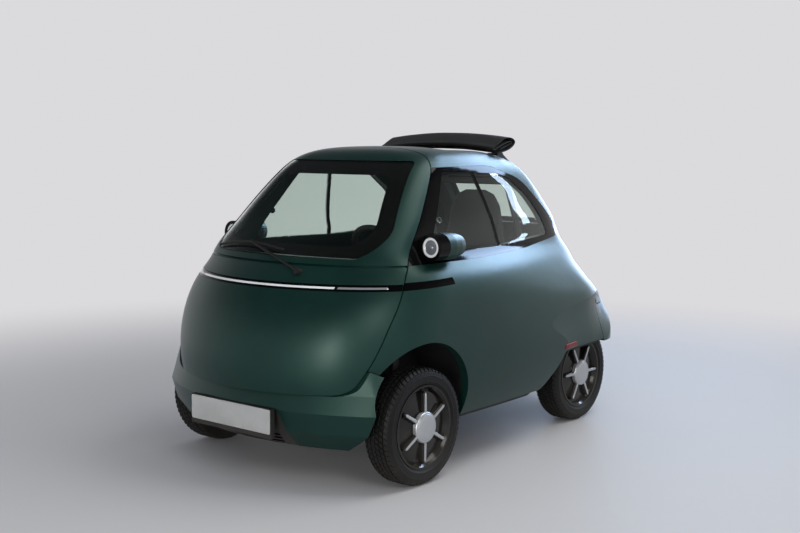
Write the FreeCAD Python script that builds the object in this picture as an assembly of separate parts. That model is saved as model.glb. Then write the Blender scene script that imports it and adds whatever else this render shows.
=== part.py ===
import math
import os

import FreeCAD, Part

V = FreeCAD.Vector
os.makedirs("parts", exist_ok=True)

# Driving dimensions, millimetres. +X is the car's left, -Y its front, +Z up.
WHEELBASE = 1566
FRONT_AXLE = -738
TYRE_R = 266
FRONT_TRACK_X = 643
REAR_TRACK_X = 492
WALL = 42
GAP = 5
SEAT = 0.3
GLASS = 6
ARCH_R = 306
REAR_ARCH_R = 300

# Every y below is measured back from the front axle of a car whose rear axle is at REAR_Y.
# A longer or shorter WHEELBASE stretches all of them.
REAR_Y = 1566
STRETCH = WHEELBASE / REAR_Y

# Body sections from the sill up: a nose arc, two corner arcs, two side arcs and a tail arc each.
# z_nose, z_tail, y_nose, y_tail, half_width, y_wide, r_nose, r_nose_corner, r_side, r_tail_corner, r_tail
BODY = (
    (190, 210, -385, 1875, 620, 300, 900, 480, 12000, 400, 3500),
    (450, 490, -520, 2002, 727, 300, 950, 560, 12000, 360, 3500),
    (600, 650, -524, 1960, 736, 300, 950, 550, 10000, 450, 4000),
    (735, 780, -490, 1898, 733, 300, 950, 530, 8000, 600, 5500),
    (889, 900, -392, 1822, 713, 300, 950, 475, 4500, 610, 5500),
    (955, 955, -316, 1788, 672, 300, 1000, 350, 4500, 540, 5500),
    (1010, 1010, -245, 1752, 616, 300, 1400, 235, 5000, 490, 5500),
    (1120, 1120, -112, 1650, 580, 350, 2200, 200, 5500, 440, 5500),
    (1240, 1240, 18, 1516, 542, 400, 3000, 175, 5500, 385, 5500),
    (1350, 1350, 138, 1365, 500, 450, 4500, 155, 5000, 300, 5500),
    (1430, 1430, 223, 1225, 458, 500, 3600, 155, 3700, 260, 4500),
    (1475, 1475, 290, 1078, 400, 550, 2400, 165, 2200, 250, 2100),
    (1500, 1500, 370, 930, 300, 600, 1100, 167, 1000, 217, 940),
    (1511, 1511, 560, 800, 130, 680, 300, 90, 300, 90, 300),
)

# The bumper's own sections, squarer at the corners than the body, straight behind.
# z, y_nose, half_width, r_nose, r_corner
BUMPER = (
    (185, -413, 640, 1200, 110),
    (262, -475, 700, 1200, 130),
    (357, -506, 728, 1200, 150),
    (440, -477, 731, 1200, 170),
    (570, -449, 735, 1200, 330),
)
BUMPER_NOSE = BUMPER[2][1]

forms = {}


def save(name, *solids):
    shape = solids[0] if len(solids) == 1 else Part.makeCompound(list(solids))
    shape.exportStep("parts/" + name + ".step")


def behind(y):
    """A distance behind the front axle as a frame coordinate."""
    return FRONT_AXLE + y * STRETCH


def circles_meet(centre_a, radius_a, centre_b, radius_b, towards):
    across = centre_b - centre_a
    gap = across.Length
    along = (radius_a ** 2 - radius_b ** 2 + gap ** 2) / (2 * gap)
    off = math.sqrt(radius_a ** 2 - along ** 2)
    across.normalize()
    side = V(-across.y, across.x, 0) * off
    points = [centre_a + across * along + side, centre_a + across * along - side]
    return max(points, key=lambda p: p.y * towards)


def point_out(centre, radius, through):
    return centre + (through - centre).normalize() * radius


def section(row, inset=0, drop=0):
    """A closed outline of eight tangent arcs, moved in by inset and down by drop."""
    z_nose, z_tail, y_nose, y_tail, half_w, y_wide, r_nose, r_nc, r_side, r_tc, r_tail = row
    ends = []
    side_c = V(half_w - r_side, y_wide, 0)
    for y_end, r_end, r_corner, way in ((y_nose, r_nose, r_nc, -1), (y_tail, r_tail, r_tc, 1)):
        end_c = V(0, y_end - way * r_end, 0)
        corner_c = circles_meet(end_c, r_end - r_corner, side_c, r_side - r_corner, way)
        on_end = point_out(end_c, r_end - inset, corner_c)
        on_side = point_out(side_c, r_side - inset, corner_c)
        middle = point_out(corner_c, r_corner - inset, (on_end + on_side) * 0.5)
        top = V(0, y_end - way * inset, 0)
        top_mid = point_out(end_c, r_end - inset, (on_end + top) * 0.5)
        ends.append((on_end, on_side, middle, top, top_mid))
    nose, nose_side, nose_mid, nose_top, nose_top_mid = ends[0]
    tail, tail_side, tail_mid, tail_top, tail_top_mid = ends[1]
    side_mid = V(half_w - inset, y_wide, 0)

    nose_half = (
        Part.Arc(nose_top, nose_top_mid, nose),
        Part.Arc(nose, nose_mid, nose_side),
        Part.Arc(nose_side, point_out(side_c, r_side - inset, (nose_side + side_mid) * 0.5), side_mid),
    )
    tail_half = (
        Part.Arc(side_mid, point_out(side_c, r_side - inset, (tail_side + side_mid) * 0.5), tail_side),
        Part.Arc(tail_side, tail_mid, tail),
        Part.Arc(tail, tail_top_mid, tail_top),
    )
    slope = (z_tail - z_nose) / (y_tail - y_nose)
    points = []
    for arcs in (nose_half, tail_half):
        wire = Part.Wire([arc.toShape() for arc in arcs])
        points += wire.discretize(Number=13)[:-1]
    points.append(tail_top)
    return [V(p.x, behind(p.y), z_nose - drop + (p.y - y_nose) * slope) for p in points]


def spacing(lines):
    """One set of parameters for all the lines, from their mean chord lengths."""
    steps = []
    for k in range(1, len(lines[0])):
        steps.append(sum((line[k] - line[k - 1]).Length for line in lines))
    along = [0]
    for step in steps:
        along.append(along[-1] + step / sum(steps))
    return along


def smooth_surface(grid):
    """A bicubic surface through every point of the grid, rows of one length."""
    across = spacing(grid)
    up = spacing(list(zip(*grid)))
    rows = []
    for row in grid:
        curve = Part.BSplineCurve()
        curve.interpolate(Points=row, Parameters=across)
        rows.append(curve)
    columns = []
    for points in zip(*[curve.getPoles() for curve in rows]):
        curve = Part.BSplineCurve()
        curve.interpolate(Points=list(points), Parameters=up)
        columns.append(curve)
    surface = Part.BSplineSurface()
    surface.buildFromPolesMultsKnots(
        [curve.getPoles() for curve in columns],
        rows[0].getMultiplicities(), columns[0].getMultiplicities(),
        rows[0].getKnots(), columns[0].getKnots(), False, False, 3, 3)
    return surface


def form(inset=0):
    """The left half of the solid inside the body's skin, moved in square to it by inset."""
    if inset in forms:
        return forms[inset]
    grid = []
    for i, row in enumerate(BODY):
        below = BODY[max(i - 1, 0)]
        above = BODY[min(i + 1, len(BODY) - 1)]
        mean = [(r[4] * 2 + r[3] - r[2]) / 4 for r in (below, above)]
        lean = math.atan2(mean[0] - mean[1], above[0] - below[0])
        if i == len(BODY) - 1:
            lean = math.pi / 2
        grid.append(section(row, inset * math.cos(lean), inset * max(math.sin(lean), 0)))
    skin = smooth_surface(grid).toShape()
    faces = [skin]
    rim = {}
    for edge in skin.Edges:
        low, high = sorted([vertex.Point for vertex in edge.Vertexes], key=lambda p: p.z)
        if high.z - low.z > 600:
            rim["nose" if low.y < 0 else "tail"] = edge
        else:
            rim["bottom" if high.z < 600 else "top"] = edge
    for level in ("bottom", "top"):
        ends = [vertex.Point for vertex in rim[level].Vertexes]
        closing = Part.LineSegment(*ends).toShape()
        faces.append(Part.Face(Part.Wire([rim[level], closing])))
        rim[level] = closing
    faces.append(Part.Face(Part.Wire(Part.__sortEdges__(list(rim.values())))))
    shell = Part.makeShell(faces)
    shell.sewShape()
    forms[inset] = Part.makeSolid(shell)
    return forms[inset]


def skin(zone, outside, inside):
    """The left half of a panel: the part of a zone between two depths under the skin."""
    return form(outside).common(zone).cut(form(inside))


def whole(half):
    """Both halves of a piece that crosses the middle."""
    return half.fuse(half.mirror(V(0, 0, 0), V(1, 0, 0)))


def nose_form(rows, inset=0):
    """A ruled solid through nose sections: an arc in front, two corner arcs, straight sides."""
    wires = []
    for z, y_nose, half_w, r_nose, r_corner in rows:
        nose_c = V(0, y_nose + r_nose, 0)
        corner_x = half_w - r_corner
        corner_y = nose_c.y - math.sqrt((r_nose - r_corner) ** 2 - corner_x ** 2)
        corner_c = V(corner_x, corner_y, 0)
        on_nose = point_out(nose_c, r_nose - inset, corner_c)
        on_side = V(half_w - inset, corner_y, 0)
        middle = point_out(corner_c, r_corner - inset, (on_nose + on_side) * 0.5)
        back = V(half_w - inset, 0, 0)

        def mirror(p):
            return V(-p.x, p.y, 0)

        edges = [
            Part.Arc(mirror(on_nose), V(0, y_nose + inset, 0), on_nose),
            Part.Arc(on_nose, middle, on_side),
            Part.LineSegment(on_side, back),
            Part.LineSegment(back, mirror(back)),
            Part.LineSegment(mirror(back), mirror(on_side)),
            Part.Arc(mirror(on_side), mirror(middle), mirror(on_nose)),
        ]
        wire = Part.Wire([edge.toShape() for edge in edges])
        wire.translate(V(0, behind(0), z))
        wires.append(wire)
    return Part.makeLoft(wires, True, True)


def rounded(points, place):
    """A wire through the points, each with the radius of its corner as its third value."""
    ends = []
    count = len(points)
    for i, (a, b, radius) in enumerate(points):
        p = V(a, b, 0)
        if not radius:
            ends.append((p, None, p))
            continue
        before = (V(*points[i - 1][:2], 0) - p).normalize()
        after = (V(*points[(i + 1) % count][:2], 0) - p).normalize()
        half = before.getAngle(after) / 2
        back = radius / math.tan(half)
        centre = p + (before + after).normalize() * (radius / math.sin(half))
        ends.append((p + before * back, centre + (p - centre).normalize() * radius, p + after * back))
    edges = []
    for i, (start, mid, end) in enumerate(ends):
        if mid:
            edges.append(Part.Arc(place(start), place(mid), place(end)).toShape())
        following = ends[(i + 1) % count][0]
        edges.append(Part.LineSegment(place(end), place(following)).toShape())
    return Part.Wire(edges)


def prism(points, place, run, grow=0):
    face = Part.Face(rounded(points, place))
    if grow:
        face = face.makeOffset2D(grow)
    return face.extrude(run)


def side_prism(points, x0, x1, grow=0):
    """A side-view outline (y behind the front axle, z, radius) run from x0 to x1."""
    return prism(points, lambda p: V(x0, behind(p.x), p.y), V(x1 - x0, 0, 0), grow)


def front_prism(points, y0, y1, grow=0):
    """A front-view outline (x, z, radius) run along the car."""
    return prism(points, lambda p: V(p.x, behind(y0), p.y), V(0, y1 - y0, 0), grow)


def band(z0, z1, y0, y1, x0):
    """The left side of the space between two heights."""
    return box(x0, 900, y0, y1, z0, z1)


def box(x0, x1, y0, y1, z0, z1):
    return Part.makeBox(x1 - x0, y1 - y0, z1 - z0, V(x0, behind(y0), z0))


def rod(start, end, radius):
    start, end = V(start[0], behind(start[1]), start[2]), V(end[0], behind(end[1]), end[2])
    return Part.makeCylinder(radius, (end - start).Length, start, end - start)


def disc(x0, x1, y, z, radius):
    return Part.makeCylinder(radius, abs(x1 - x0), V(min(x0, x1), behind(y), z), V(1, 0, 0))


def arch_space(x0, x1, radius):
    """The room over a front wheel: round above, straight down in front and behind."""
    y, z = ARCH
    return disc(x0, x1, y, z, radius).fuse(box(x0, x1, y - radius, y + radius, 0, z))


def both(shape):
    return [shape, shape.mirror(V(0, 0, 0), V(1, 0, 0))]


def fused(pieces):
    whole = pieces[0].fuse(list(pieces[1:]))
    return whole.removeSplitter()


# Shut lines and openings in side view: y behind the front axle, z, corner radius.
DOOR_EDGE = (
    (470, 1580, 0), (385, 1492, 60), (325, 1398, 300), (-55, 938, 400),
    (-192, 721, 500), (-330, 440, 80), (-750, 427, 0),
)
DOOR_ZONE = DOOR_EDGE + ((-750, 1580, 0),)
TAIL_EDGE = (
    (1165, 1580, 0), (1190, 1440, 60), (1330, 1310, 400), (1475, 1140, 300), (1562, 960, 200),
    (1588, 800, 200), (1610, 645, 90), (2150, 637, 0),
)
TAIL_ZONE = TAIL_EDGE + ((2150, 1580, 0),)
LOW_TAIL_ZONE = ((1606, 665, 0), (1670, 440, 0), (2150, 440, 0), (2150, 632, 0), (1620, 640, 80))
BUMPER_ZONE = (
    (-750, 100, 0), (-750, 570, 0), (-322, 570, 0), (-283, 547, 0),
    (-195, 496, 0), (-110, 447, 0), (-110, 100, 0),
)
UNDER_SILL = (
    (-750, 0, 0), (-750, 100, 0), (-150, 100, 0), (250, 264, 0), (1030, 264, 60), (1150, 380, 200),
    (1205, 452, 40), (2150, 456, 0), (2150, 0, 0),
)
CANT_RAIL_Z = 1434
SUNROOF = ((-345, 545, 80), (345, 545, 80), (345, 1125, 80), (-345, 1125, 80))
WINDOW = (
    (200, 1408, 0), (800, 1420, 500), (1080, 1345, 350), (1470, 1037, 12),
    (940, 997, 900), (520, 984, 0), (-120, 982, 0),
)
PANE = (
    (160, 1027, 25), (402, 1393, 35), (920, 1374, 300), (1110, 1258, 300), (1293, 1048, 15), (740, 1024, 0),
)
DIVIDER = ((608, 1480, 0), (626, 1480, 0), (766, 960, 0), (748, 960, 0))
SCREEN = ((-409, 1442, 35), (409, 1442, 35), (565, 1008, 105), (-565, 1008, 105))
REAR_WINDOW = ((-235, 1345, 50), (235, 1345, 50), (300, 1075, 50), (-300, 1075, 50))
ARCH = (12, 340)

# The nose's light groove, its lower lip crease, the side strip and the tail lamp band.
LIGHT_Z = 893
GROOVE_H = 28
GROOVE_DEEP = 9
CREASE_Z = 980
PANEL_DEEP = 16
RECESS = ((-268, 350, 12), (268, 350, 12), (300, 150, 0), (-300, 150, 0))
RECESS_DEEP = 40

RIGHT = -60
door_zone = side_prism(DOOR_ZONE, RIGHT, 900)
tail_zone = side_prism(TAIL_ZONE, RIGHT, 900)
screen = front_prism(SCREEN, -600, 500)
rear_window = front_prism(REAR_WINDOW, 1100, 2100)


# The crease that rises to the tail over each rear wheel, and the sill line under it.
# y, x on the crease, x on the sill line
FLANK = (
    (960, 724, 722), (1057, 712, 708), (1226, 691.8, 681), (1409, 671.5, 658), (1500, 656, 650),
    (1550, 641.8, 646), (1599, 623.8, 642), (1650, 597.5, 640), (1700, 570, 637), (1750, 545, 631),
    (1800, 520, 622), (1870, 470, 600), (1950, 400, 560),
)
FLANK_LOW_Z = 420


def flat_flank():
    """The space outside the tucked-in panel under the crease."""
    rows = [[], [], [], []]
    for y, x_crease, x_low in FLANK:
        z = 556 + y / 10
        rows[0].append(V(x_crease + 12, behind(y), z + 40))
        rows[1].append(V(x_crease, behind(y), z))
        rows[2].append(V((x_crease + x_low) / 2 + 3, behind(y), (z + FLANK_LOW_Z) / 2))
        rows[3].append(V(x_low, behind(y), FLANK_LOW_Z))
    return smooth_surface(rows).toShape().extrude(V(400, 0, 0))


flank = flat_flank()

# Front door: a skin with a light groove and a crease under the screen.
door = skin(door_zone, 0, WALL).cut(screen)
groove = band(LIGHT_Z - GROOVE_H / 2, LIGHT_Z + GROOVE_H / 2, -650, 100, RIGHT)
crease = band(CREASE_Z - 5, CREASE_Z + 5, -650, 100, RIGHT)
door = door.cut(skin(groove, -5, GROOVE_DEEP)).cut(skin(crease, -5, 7))
save("front_door", whole(door))
save("windscreen", whole(skin(front_prism(SCREEN, -600, 500, -SEAT), 3, 3 + GLASS)))
door_inner = side_prism(DOOR_ZONE, RIGHT, 900, -2)
save("light_bar", whole(skin(groove, 4, GROOVE_DEEP - SEAT).common(door_inner)))
led = band(LIGHT_Z - 4, LIGHT_Z + 4, -650, -140, RIGHT)
save("light_strip", whole(skin(led, 1, 4 - SEAT)))
DASH = ((-400, 872, 0), (-400, 950, 0), (-150, 962, 30), (-110, 930, 20), (-130, 872, 0))
save("dash_bar", whole(form(WALL + SEAT).common(side_prism(DASH, RIGHT, 560))))

# Wiper: a pivot on the nose, an arm and a blade along the foot of the screen. x, y, z.
WIPER_PIVOT = (222, -308, 955)
WIPER_JOINT = (-195, -200, 1061)
BLADE = ((-450, -169, 1027), (-339, -182, 1046), (-207, -198, 1057), (-72, -216, 1051), (66, -236, 1036))
wiper = [rod(WIPER_PIVOT, WIPER_JOINT, 6), rod((222, -290, 945), (222, -315, 958), 17)]
for start, end in zip(BLADE, BLADE[1:]):
    wiper.append(rod(start, end, 5))
save("wiper", fused(wiper).cut(whole(form(-SEAT))))

# Tailgate, its glass and lamps.
gate = skin(tail_zone, 0, WALL).cut(rear_window).cut(flank)
lamp_band = band(778, 806, 1540, 2100, RIGHT)
save("tailgate", whole(gate.cut(skin(lamp_band, -5, GROOVE_DEEP))))
save("rear_glass", whole(skin(front_prism(REAR_WINDOW, 1100, 2100, -SEAT), 3, 3 + GLASS)))
tail_inner = side_prism(TAIL_ZONE, RIGHT, 900, -2)
save("tail_lamp", whole(skin(lamp_band, 3, GROOVE_DEEP - SEAT).common(tail_inner)))

# Fixed body.
body_zone = box(RIGHT, 900, -700, 2100, 0, 1600)
for cutter in (
    side_prism(DOOR_ZONE, -900, 900, GAP),
    side_prism(TAIL_ZONE, -900, 900, GAP),
    side_prism(LOW_TAIL_ZONE, -900, 900, 4),
    side_prism(UNDER_SILL, -900, 900),
    side_prism(BUMPER_ZONE, -900, 900, 4),
    arch_space(-900, 900, ARCH_R),
):
    body_zone = body_zone.cut(cutter)
sunroof = prism(SUNROOF, lambda p: V(p.x, behind(p.y), 1300), V(0, 0, 400))
roof_zone = body_zone.common(box(RIGHT, 900, -700, 2100, CANT_RAIL_Z, 1600)).cut(sunroof)
save("roof", whole(skin(roof_zone, 0, WALL)))
side_zone = body_zone.common(box(RIGHT, 900, -700, 2100, 0, CANT_RAIL_Z - SEAT))
window = side_prism(WINDOW, 300, 800)
pane = side_prism(PANE, 300, 800)
strip_band = side_prism(((-140, 878, 0), (212, 890, 0), (208, 921, 0), (-140, 912, 0)), 500, 800)
side = skin(side_zone, 0, WALL).cut(flank)
side = side.cut(skin(window, -5, PANEL_DEEP + SEAT)).cut(pane).cut(skin(strip_band, -5, 7))
for name, half in zip(("body_left", "body_right"), both(side)):
    save(name, half)
strip_band = strip_band.common(body_zone)
save("side_strips", *both(skin(strip_band, 1, 7 - SEAT)))
low_tail = side_prism(LOW_TAIL_ZONE, RIGHT, 900)
save("tail_panel", whole(skin(low_tail, 0, WALL).cut(flank)))

# Tailgate hinges at the back of the roof: ears and a pin on the roof, a leaf on the gate.
GATE_AXIS = (1165, 1470)
AXIS_Y, AXIS_Z = GATE_AXIS
PIN_R = 4
LEAF = ((-6, -5), (4, 8), (100, -54), (108, -64), (96, -104), (20, -44))
ears = []
leaves = []
for x in (-260, 260):
    for ear_x in (x - 32, x + 26):
        ears.append(box(ear_x, ear_x + 6, AXIS_Y - 45, AXIS_Y + 6, AXIS_Z - 50, AXIS_Z + 6))
    ears.append(disc(x - 32, x + 32, *GATE_AXIS, PIN_R))
    leaf = side_prism([(AXIS_Y + y, AXIS_Z + z, 0) for y, z in LEAF], x - 24, x + 24)
    barrel = disc(x - 24, x + 24, *GATE_AXIS, 9)
    leaves.append(leaf.fuse(barrel).cut(disc(x - 40, x + 40, *GATE_AXIS, PIN_R + SEAT)))
clear_skin = whole(form(-SEAT))
save("gate_pins", fused(ears[:3]).cut(clear_skin), fused(ears[3:]).cut(clear_skin))
over_roof = whole(form(-4)).common(box(-900, 900, 900, 1204, 1300, 1600))
save("gate_leaves", *[leaf.cut(clear_skin).cut(over_roof) for leaf in leaves])

# Door latch on the inside of the right-hand shut line.
LATCH = ((-262, 650, 0), (-165, 650, 0), (-132, 740, 0), (-232, 740, 0))
latch = skin(side_prism(LATCH, 300, 900), WALL + SEAT, WALL + 14)
save("door_latch", latch.mirror(V(0, 0, 0), V(1, 0, 0)))

# Side windows: a gloss black panel with a divider round fixed panes.
frame_zone = side_prism(WINDOW, 300, 800, -SEAT).common(body_zone)
frame = skin(frame_zone.cut(pane).fuse(side_prism(DIVIDER, 300, 800).common(pane)), 1, PANEL_DEEP)
pane_zone = side_prism(PANE, 300, 800, -SEAT).cut(side_prism(DIVIDER, 300, 800, SEAT))
panes = skin(pane_zone, 3, 3 + GLASS)
for name, half in zip(("window_frame_left", "window_frame_right"), both(frame)):
    save(name, half)
for name, half in zip(("side_glass_left", "side_glass_right"), both(panes)):
    save(name, half)

# Bumper: an upper ledge over a tucked face, with a black insert in its number plate recess.
door_clear = side_prism(DOOR_ZONE, -900, 900, GAP)
bumper_zone = side_prism(BUMPER_ZONE, -900, 900).cut(door_clear)
recess = front_prism(RECESS, -600, -300)
bumper = nose_form(BUMPER).cut(nose_form(BUMPER, 22)).common(bumper_zone)
bumper = bumper.cut(arch_space(-900, 900, ARCH_R)).cut(recess)
save("front_bumper", bumper)
insert = front_prism(RECESS, -600, -300, -SEAT).common(box(-300, 300, -600, -300, 186, 400))
insert = insert.common(nose_form(BUMPER, 3)).cut(nose_form(BUMPER, RECESS_DEEP + 8))
slots = box(-230, 230, -600, -300, 194, 204)
for k in range(1, 3):
    slots = slots.fuse(box(-230, 230, -600, -300, 194 + 18 * k, 204 + 18 * k))
slots = slots.fuse(box(-258, 258, -600, BUMPER_NOSE + 20, 250, 342))
save("bumper_insert", insert.cut(slots.common(nose_form(BUMPER).cut(nose_form(BUMPER, RECESS_DEEP)))))

# Floor: a pan with a front wall and a raised rear deck, let in for all four wheels.
FLOOR = (
    (-330, 230, 0), (1010, 230, 40), (1180, 430, 40), (2100, 430, 0), (2100, 455, 0), (1170, 455, 20),
    (1000, 256, 20), (-304, 256, 0), (-304, 412, 0), (-330, 412, 0),
)
floor = whole(form(WALL + SEAT).common(side_prism(FLOOR, RIGHT, 900)))
front_well = arch_space(425, 900, ARCH_R + 6 + SEAT).fuse(box(425, 900, -700, 330, 0, 330))
front_well = front_well.fuse(box(425, 900, -700, 5, 0, 600))
rear_well = disc(400, 606, REAR_Y, TYRE_R, REAR_ARCH_R + SEAT)
for well in both(front_well) + both(rear_well):
    floor = floor.cut(well)
sill = nose_form(BUMPER, RECESS_DEEP + 8 + SEAT)
sill = sill.common(box(-425, 425, -600, -330, 388, 412).fuse(box(-240, 240, -600, -330, 310, 412)))
save("floor_pan", fused([floor, sill]))

# Wheel arch liners.
front_liner = arch_space(425, 900, ARCH_R + 6).cut(arch_space(431, 900, ARCH_R))
front_liner = front_liner.common(form(WALL + SEAT)).common(box(400, 900, -700, 400, 256 + SEAT, 700))
rear_liner = disc(400, 606 - SEAT, REAR_Y, TYRE_R, REAR_ARCH_R)
rear_liner = rear_liner.cut(disc(405, 601, REAR_Y, TYRE_R, REAR_ARCH_R - 6))
rear_liner = rear_liner.common(box(300, 700, 1100, 2000, 432, 700)).common(form(WALL + SEAT))
save("arch_liners", *(both(front_liner) + both(rear_liner)))

# Lamp and mirror pods.
POD = (655, 98, 1059)
drum = Part.makeCylinder(62, 72, V(POD[0], behind(POD[1]), POD[2]), V(0, 1, 0))
drum = drum.cut(Part.makeCylinder(46, 20, V(POD[0], behind(POD[1]), POD[2]), V(0, 1, 0)))
skin_clear = form(1 - SEAT)
lamp = Part.makeCylinder(45.7, 14, V(POD[0], behind(POD[1]) + 5.7, POD[2]), V(0, 1, 0))
SHELL = ((0, 72 + SEAT), (62, 72 + SEAT), (62, 120), (58, 165), (50, 200), (44, 200), (44, 196), (0, 196))
loop = [V(POD[0] + r, behind(POD[1]) + y, POD[2]) for r, y in SHELL]
outline = Part.Face(Part.makePolygon(loop + loop[:1]))
pod_back = outline.revolve(V(POD[0], behind(POD[1]), POD[2]), V(0, 1, 0), 360)
mirror = Part.makeCylinder(43.7, 3.5, V(POD[0], behind(POD[1]) + 196 + SEAT, POD[2]), V(0, 1, 0))
save("pod_drums", *both(drum.cut(skin_clear)))
save("pod_lamps", *both(lamp))
save("pod_shells", *both(Part.makeSolid(Part.Shell(pod_back.Faces)).cut(skin_clear)))
save("pod_mirrors", *both(mirror.cut(skin_clear)))

# Folded soft top at the back of the roof opening: low in front, high and round behind.
PACK = (
    (950, 1430, 0), (950, 1522, 14), (1062, 1582, 70), (1108, 1586, 50), (1150, 1568, 24),
    (1118, 1522, 14), (1010, 1490, 0), (1010, 1430, 0),
)
PACK_TOP_Z = 1584
PACK_HALF_W = 388
PACK_CROWN_R = 2900
crown = Part.makeCylinder(PACK_CROWN_R, 400, V(0, behind(850), PACK_TOP_Z - PACK_CROWN_R), V(0, 1, 0))
pack = side_prism(PACK, -PACK_HALF_W, PACK_HALF_W).common(crown)
save("soft_top", pack.cut(whole(form(-SEAT))))

# Seat: battery under a base, cushion, back with two head rests.
SEAT_FRONT = 420
SEAT_HINGE = 900
save("battery", box(-520, 520, SEAT_FRONT + 60, SEAT_HINGE - 60, 256 + SEAT, 430))
seat_base = box(-580, 580, SEAT_FRONT + 20, SEAT_HINGE, 256 + SEAT, 450)
seat_base = seat_base.cut(box(-562, 562, SEAT_FRONT + 38, SEAT_HINGE, 250, 432))
save("seat_base", seat_base)
cushion = box(-575, 575, SEAT_FRONT, SEAT_HINGE, 450 + SEAT, 565)
save("seat_cushion", cushion.makeFillet(30, cushion.Edges))
BACK = ((900.3, 450.3, 0), (900.3, 500, 60), (985, 1120, 30), (1062, 1108, 40), (1010, 450.3, 0))
REST = ((975, 1096, 0), (986, 1285, 24), (1046, 1276, 20), (1060, 1084, 0))
back = [side_prism(BACK, -440, 440)]
for x in (-235, 235):
    rest = side_prism(REST, x - 150, x + 150)
    shoulder = (
        (x - 150, 1080, 0), (x - 145, 1180, 60), (x - 105, 1300, 70),
        (x + 105, 1300, 70), (x + 145, 1180, 60), (x + 150, 1080, 0),
    )
    back.append(rest.common(front_prism(shoulder, 900, 1200)))
save("seat_back", fused(back))

# Roll bar behind the seat, from the floor over the head rests.
HOOP_R = 16
HOOP = (
    (-500, 1190, 456), (-468, 1100, 1000), (-362, 1100, 1325),
    (362, 1100, 1325), (468, 1100, 1000), (500, 1190, 456),
)
hoop = [rod(start, end, HOOP_R) for start, end in zip(HOOP, HOOP[1:])]
for x, y, z in HOOP[1:-1]:
    hoop.append(Part.makeSphere(HOOP_R, V(x, behind(y), z)))
save("roll_bar", fused(hoop).cut(box(-900, 900, 1100, 1300, 400, 455 + SEAT)))

# Steering column and wheel.
WHEEL_HUB = (300, 185, 1000)
TILT = math.radians(35)
RIM_MID_R = 160
hub = V(WHEEL_HUB[0], behind(WHEEL_HUB[1]), WHEEL_HUB[2])
back_up = V(0, math.cos(TILT), math.sin(TILT))


def on_column(distance):
    return (WHEEL_HUB[0], WHEEL_HUB[1] - back_up.y * distance, WHEEL_HUB[2] - back_up.z * distance)


knee = on_column(270)
column = [rod(on_column(28 + SEAT), knee, 24), rod(knee, (300, -210, 256 + SEAT), 20)]
column.append(Part.makeSphere(24, V(300, behind(knee[1]), knee[2])))
save("steering_column", fused(column).common(box(200, 400, -600, 600, 256 + SEAT, 1200)))
wheel = [Part.makeTorus(RIM_MID_R, 14, hub, back_up)]
wheel.append(Part.makeCylinder(50, 34, hub - back_up * 28, back_up))
for angle in (0, 180, 270):
    arm = V(math.cos(math.radians(angle)), 0, math.sin(math.radians(angle)))
    along = Part.makeCylinder(11, RIM_MID_R - 3, V(0, 0, 0), V(0, 0, 1))
    along.Placement = FreeCAD.Placement(hub, FreeCAD.Rotation(V(0, 0, 1), arm))
    along.rotate(hub, V(1, 0, 0), math.degrees(TILT))
    wheel.append(along)
save("steering_wheel", fused(wheel))

# Running gear. The motor and both trailing arms hang on the rear axle line.
MOTOR_HALF_W = 190
save("motor", box(-MOTOR_HALF_W, MOTOR_HALF_W, REAR_Y - 116, REAR_Y + 114, 170, 430 - SEAT))
HUB_BACK = 44 - SEAT
PIVOT_Y = REAR_Y - 451
PIVOT_Z = 312
arms = []
for side in (-1, 1):
    arms.append(disc(side * (MOTOR_HALF_W + SEAT), side * (REAR_TRACK_X - 92), REAR_Y, TYRE_R, 16))
    arms.append(disc(side * (REAR_TRACK_X - 116), side * (REAR_TRACK_X - 76), REAR_Y, TYRE_R, 62))
    arms.append(disc(side * (REAR_TRACK_X - 82), side * (REAR_TRACK_X + HUB_BACK), REAR_Y, TYRE_R, 34))
    arms.append(rod((side * 368, REAR_Y - 12, TYRE_R + 1), (side * 368, PIVOT_Y, PIVOT_Z), 20))
arms.append(rod((-396, PIVOT_Y, PIVOT_Z), (396, PIVOT_Y, PIVOT_Z), 24))
hanger = box(-60, 60, PIVOT_Y - 20, PIVOT_Y + 20, PIVOT_Z - 6, 366)
arms.append(hanger.cut(side_prism(FLOOR, -900, 900, SEAT)))
save("rear_axle", fused(arms))

# Front axle: a cross member, a lower arm and a strut tower each side, and the two upright knuckles.
KING_X = FRONT_TRACK_X - 43
KING_R = 15
ARM_R = 12
BALL_LOW = 119
BALL_TOP = 405
BALL_TOP_R = 8
KING_LOW = BALL_LOW + ARM_R + SEAT
KING_TOP = BALL_TOP - BALL_TOP_R - SEAT
axle = [box(-330, 330, -60, 60, 180, 230 - SEAT)]
for side in (-1, 1):
    axle.append(rod((side * 320, 0, 205), (side * (KING_X - 20), 0, BALL_LOW - 3), ARM_R))
    axle.append(disc(side * (KING_X - 22), side * (KING_X + 8), 0, BALL_LOW, ARM_R))
    strut = rod((side * (KING_X - 70), 0, BALL_TOP), (side * (KING_X - 70), 0, 700), 22)
    axle.append(strut.common(disc(-900, 900, *ARCH, ARCH_R - SEAT)))
    axle.append(disc(side * (KING_X - 80), side * (KING_X + 8), 0, BALL_TOP, BALL_TOP_R))
save("front_axle", fused(axle))
for name, side in (("knuckle_left", 1), ("knuckle_right", -1)):
    king = rod((side * KING_X, 0, KING_LOW), (side * KING_X, 0, KING_TOP), KING_R)
    hub_carrier = disc(side * (KING_X - 12), side * (FRONT_TRACK_X + HUB_BACK), 0, TYRE_R, 40)
    steer_arm = box(*sorted((side * (KING_X - 10), side * (KING_X + 10))), 0, 105, 205, 225)
    save(name, fused([king, hub_carrier, steer_arm]))

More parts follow.
